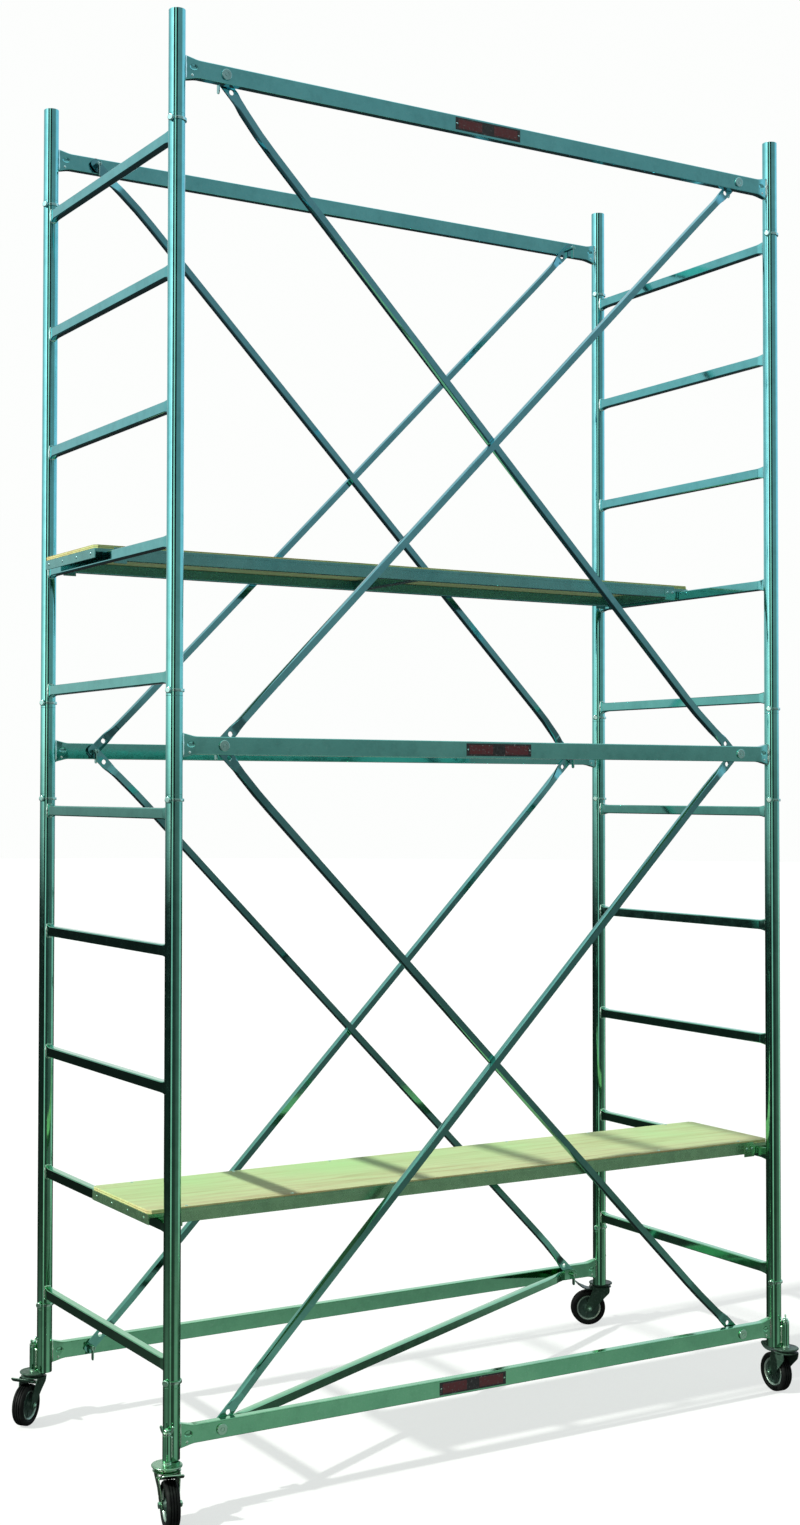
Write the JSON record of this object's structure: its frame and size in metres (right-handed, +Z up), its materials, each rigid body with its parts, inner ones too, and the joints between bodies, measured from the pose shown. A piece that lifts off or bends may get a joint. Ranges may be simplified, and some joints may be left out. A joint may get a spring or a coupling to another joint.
{
  "type": "rolling scaffold tower",
  "caption": "Narrow rolling tower scaffold: ladder frames pinned between beam frames, crossed tube braces, two hook-on plywood decks and braked swivel casters.",
  "frame": {"origin": "on the floor at the middle of the box that the tower covers, casters and pedals included", "axes": "+X along the tower from the left ladder to the right one, +Y from the front to the rear, +Z up"},
  "size_m": [1.8984, 0.9082, 3.297],
  "materials": {
    "galvanised_tube": "hot-dip galvanised tube, satin, slightly blue-green",
    "galvanised_sheet": "folded galvanised sheet, satin",
    "bright_zinc": "bright zinc plate",
    "pressed_steel": "zinc-plated pressed steel",
    "wheel_centre": "moulded dark plastic",
    "rubber_tyre": "solid black rubber",
    "plywood": "bare plywood, faint long grain"
  },
  "bodies": {
    "tower": {"base_frame_front": "galvanised_tube", "base_frame_rear": "galvanised_tube", "middle_frame_front": "galvanised_tube", "middle_frame_rear": "galvanised_tube", "top_frame_front": "galvanised_tube", "top_frame_rear": "galvanised_tube", "lower_ladder_left": "galvanised_tube", "lower_ladder_right": "galvanised_tube", "upper_ladder_left": "galvanised_tube", "upper_ladder_right": "galvanised_tube", "lower_brace_front_rising": "galvanised_tube", "lower_brace_front_falling": "galvanised_tube", "lower_brace_rear_rising": "galvanised_tube", "lower_brace_rear_falling": "galvanised_tube", "upper_brace_front_rising": "galvanised_tube", "upper_brace_front_falling": "galvanised_tube", "upper_brace_rear_rising": "galvanised_tube", "upper_brace_rear_falling": "galvanised_tube", "floor_diagonal": "galvanised_tube", "brace_pins": "bright_zinc", "ring_pins": "bright_zinc", "ring_clips": "bright_zinc", "caster_stems": "bright_zinc", "wing_nuts": "bright_zinc"},
    "lower_deck": {"lower_deck_frame": "galvanised_sheet", "lower_deck_board": "plywood"},
    "upper_deck": {"upper_deck_frame": "galvanised_sheet", "upper_deck_board": "plywood"},
    "latch_base_front_left": {"latch_base_front_left": "bright_zinc"},
    "latch_base_front_right": {"latch_base_front_right": "bright_zinc"},
    "latch_base_rear_left": {"latch_base_rear_left": "bright_zinc"},
    "latch_base_rear_right": {"latch_base_rear_right": "bright_zinc"},
    "latch_middle_front_left": {"latch_middle_front_left": "bright_zinc"},
    "latch_middle_front_right": {"latch_middle_front_right": "bright_zinc"},
    "latch_middle_rear_left": {"latch_middle_rear_left": "bright_zinc"},
    "latch_middle_rear_right": {"latch_middle_rear_right": "bright_zinc"},
    "latch_top_front_left": {"latch_top_front_left": "bright_zinc"},
    "latch_top_front_right": {"latch_top_front_right": "bright_zinc"},
    "latch_top_rear_left": {"latch_top_rear_left": "bright_zinc"},
    "latch_top_rear_right": {"latch_top_rear_right": "bright_zinc"},
    "caster_front_left": {"fork_front_left": "pressed_steel", "axle_front_left": "bright_zinc"},
    "wheel_front_left": {"tyre_front_left": "rubber_tyre", "hub_front_left": "wheel_centre"},
    "pedal_front_left": {"brake_pedal_front_left": "pressed_steel"},
    "caster_front_right": {"fork_front_right": "pressed_steel", "axle_front_right": "bright_zinc"},
    "wheel_front_right": {"tyre_front_right": "rubber_tyre", "hub_front_right": "wheel_centre"},
    "pedal_front_right": {"brake_pedal_front_right": "pressed_steel"},
    "caster_rear_left": {"fork_rear_left": "pressed_steel", "axle_rear_left": "bright_zinc"},
    "wheel_rear_left": {"tyre_rear_left": "rubber_tyre", "hub_rear_left": "wheel_centre"},
    "pedal_rear_left": {"brake_pedal_rear_left": "pressed_steel"},
    "caster_rear_right": {"fork_rear_right": "pressed_steel", "axle_rear_right": "bright_zinc"},
    "wheel_rear_right": {"tyre_rear_right": "rubber_tyre", "hub_rear_right": "wheel_centre"},
    "pedal_rear_right": {"brake_pedal_rear_right": "pressed_steel"}
  },
  "joints": [
    {"name": "lower_deck_lift", "type": "slide", "parent": "tower", "child": "lower_deck", "axis": [0, 0, 1], "range_m": [0, 0.15]},
    {"name": "upper_deck_lift", "type": "slide", "parent": "tower", "child": "upper_deck", "axis": [0, 0, 1], "range_m": [0, 0.15]},
    {"name": "latch_base_front_left_turn", "type": "hinge", "parent": "tower", "child": "latch_base_front_left", "pos_m": [-0.7373, -0.31675, 0.172], "axis": [1, 0, 0], "range_deg": [0, 90]},
    {"name": "latch_base_front_right_turn", "type": "hinge", "parent": "tower", "child": "latch_base_front_right", "pos_m": [0.7767, -0.31675, 0.172], "axis": [1, 0, 0], "range_deg": [0, 90]},
    {"name": "latch_base_rear_left_turn", "type": "hinge", "parent": "tower", "child": "latch_base_rear_left", "pos_m": [-0.7373, 0.34925, 0.172], "axis": [-1, 0, 0], "range_deg": [0, 90]},
    {"name": "latch_base_rear_right_turn", "type": "hinge", "parent": "tower", "child": "latch_base_rear_right", "pos_m": [0.7767, 0.34925, 0.172], "axis": [-1, 0, 0], "range_deg": [0, 90]},
    {"name": "latch_middle_front_left_turn", "type": "hinge", "parent": "tower", "child": "latch_middle_front_left", "pos_m": [-0.7373, -0.31675, 1.672], "axis": [1, 0, 0], "range_deg": [0, 90]},
    {"name": "latch_middle_front_right_turn", "type": "hinge", "parent": "tower", "child": "latch_middle_front_right", "pos_m": [0.7767, -0.31675, 1.672], "axis": [1, 0, 0], "range_deg": [0, 90]},
    {"name": "latch_middle_rear_left_turn", "type": "hinge", "parent": "tower", "child": "latch_middle_rear_left", "pos_m": [-0.7373, 0.34925, 1.672], "axis": [-1, 0, 0], "range_deg": [0, 90]},
    {"name": "latch_middle_rear_right_turn", "type": "hinge", "parent": "tower", "child": "latch_middle_rear_right", "pos_m": [0.7767, 0.34925, 1.672], "axis": [-1, 0, 0], "range_deg": [0, 90]},
    {"name": "latch_top_front_left_turn", "type": "hinge", "parent": "tower", "child": "latch_top_front_left", "pos_m": [-0.7373, -0.31675, 3.172], "axis": [1, 0, 0], "range_deg": [0, 90]},
    {"name": "latch_top_front_right_turn", "type": "hinge", "parent": "tower", "child": "latch_top_front_right", "pos_m": [0.7767, -0.31675, 3.172], "axis": [1, 0, 0], "range_deg": [0, 90]},
    {"name": "latch_top_rear_left_turn", "type": "hinge", "parent": "tower", "child": "latch_top_rear_left", "pos_m": [-0.7373, 0.34925, 3.172], "axis": [-1, 0, 0], "range_deg": [0, 90]},
    {"name": "latch_top_rear_right_turn", "type": "hinge", "parent": "tower", "child": "latch_top_rear_right", "pos_m": [0.7767, 0.34925, 3.172], "axis": [-1, 0, 0], "range_deg": [0, 90]},
    {"name": "swivel_front_left", "type": "hinge", "parent": "tower", "child": "caster_front_left", "pos_m": [-0.87584, -0.36679, 0.11], "axis": [0, 0, 1], "continuous": true},
    {"name": "roll_front_left", "type": "hinge", "parent": "caster_front_left", "child": "wheel_front_left", "pos_m": [-0.88568, -0.4035, 0.05], "axis": [0.9659, -0.2588, 0], "continuous": true},
    {"name": "brake_front_left", "type": "hinge", "parent": "caster_front_left", "child": "pedal_front_left", "pos_m": [-0.88102, -0.38611, 0.102], "axis": [0.9659, -0.2588, 0], "range_deg": [0, 8]},
    {"name": "swivel_front_right", "type": "hinge", "parent": "tower", "child": "caster_front_right", "pos_m": [0.91524, -0.36679, 0.11], "axis": [0, 0, 1], "continuous": true},
    {"name": "roll_front_right", "type": "hinge", "parent": "caster_front_right", "child": "wheel_front_right", "pos_m": [0.91855, -0.32894, 0.05], "axis": [-0.9962, 0.0872, 0], "continuous": true},
    {"name": "brake_front_right", "type": "hinge", "parent": "caster_front_right", "child": "pedal_front_right", "pos_m": [0.91698, -0.34687, 0.102], "axis": [-0.9962, 0.0872, 0], "range_deg": [0, 8]},
    {"name": "swivel_rear_left", "type": "hinge", "parent": "tower", "child": "caster_rear_left", "pos_m": [-0.87584, 0.39929, 0.11], "axis": [0, 0, 1], "continuous": true},
    {"name": "roll_rear_left", "type": "hinge", "parent": "caster_rear_left", "child": "wheel_rear_left", "pos_m": [-0.90495, 0.37486, 0.05], "axis": [0.6428, -0.766, 0], "continuous": true},
    {"name": "brake_rear_left", "type": "hinge", "parent": "caster_rear_left", "child": "pedal_rear_left", "pos_m": [-0.89116, 0.38643, 0.102], "axis": [0.6428, -0.766, 0], "range_deg": [0, 8]},
    {"name": "swivel_rear_right", "type": "hinge", "parent": "tower", "child": "caster_rear_right", "pos_m": [0.91524, 0.39929, 0.11], "axis": [0, 0, 1], "continuous": true},
    {"name": "roll_rear_right", "type": "hinge", "parent": "caster_rear_right", "child": "wheel_rear_right", "pos_m": [0.8808, 0.41535, 0.05], "axis": [-0.4226, -0.9063, 0], "continuous": true},
    {"name": "brake_rear_right", "type": "hinge", "parent": "caster_rear_right", "child": "pedal_rear_right", "pos_m": [0.89711, 0.40774, 0.102], "axis": [-0.4226, -0.9063, 0], "range_deg": [0, 8]}
  ]
}
